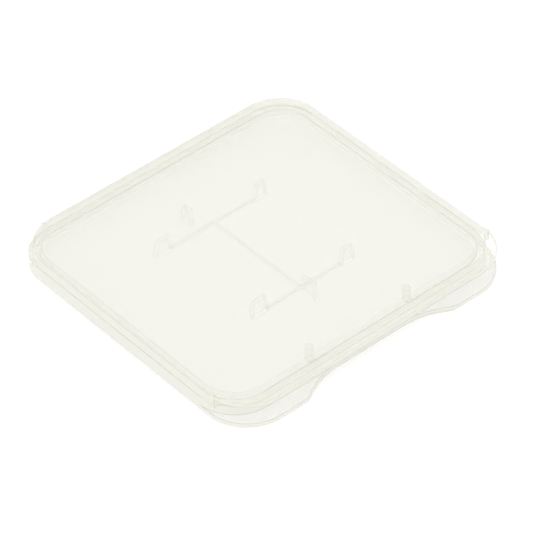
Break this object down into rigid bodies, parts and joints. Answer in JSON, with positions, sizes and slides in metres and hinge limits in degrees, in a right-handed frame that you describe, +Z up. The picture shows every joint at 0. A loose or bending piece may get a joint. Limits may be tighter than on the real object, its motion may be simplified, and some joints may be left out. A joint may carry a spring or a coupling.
{
  "type": "memory card case",
  "caption": "Thin square clamshell case with rounded corners, a folding strip at the back, a thumb notch in front and a tabbed rest for one small memory card.",
  "frame": {"origin": "middle of the closed case's outline on the surface that it lies on", "axes": "+X along the folding strip to the right, +Y from the thumb notch to the folding strip at the back, +Z up through the lid"},
  "size_m": [0.038, 0.0372, 0.0034],
  "materials": {
    "case_plastic": "frosted, slightly milky translucent polypropylene",
    "lid_plastic": "frosted, slightly milky translucent polypropylene"
  },
  "bodies": {
    "tray": {"base_tray": "case_plastic", "card_ribs": "case_plastic", "card_tab_back_left": "case_plastic", "card_tab_back_right": "case_plastic", "card_tab_front_left": "case_plastic", "card_tab_front_right": "case_plastic", "card_tab_front": "case_plastic", "card_tab_back": "case_plastic", "lower_film": "case_plastic"},
    "strip": {"hinge_strip": "case_plastic"},
    "lid": {"upper_film": "case_plastic", "lid_shell": "lid_plastic", "latch_lug_left": "lid_plastic", "latch_lug_right": "lid_plastic"}
  },
  "joints": [
    {"name": "lower_fold", "type": "hinge", "parent": "tray", "child": "strip", "pos_m": [0, 0.01849, 0.0009], "axis": [-1, 0, 0], "range_deg": [0, 90]},
    {"name": "upper_fold", "type": "hinge", "parent": "strip", "child": "lid", "pos_m": [0, 0.01849, 0.0025], "axis": [-1, 0, 0], "range_deg": [0, 90]}
  ],
  "couplings": [
    {"joint": "lower_fold", "follows": "upper_fold", "ratio": 1}
  ]
}
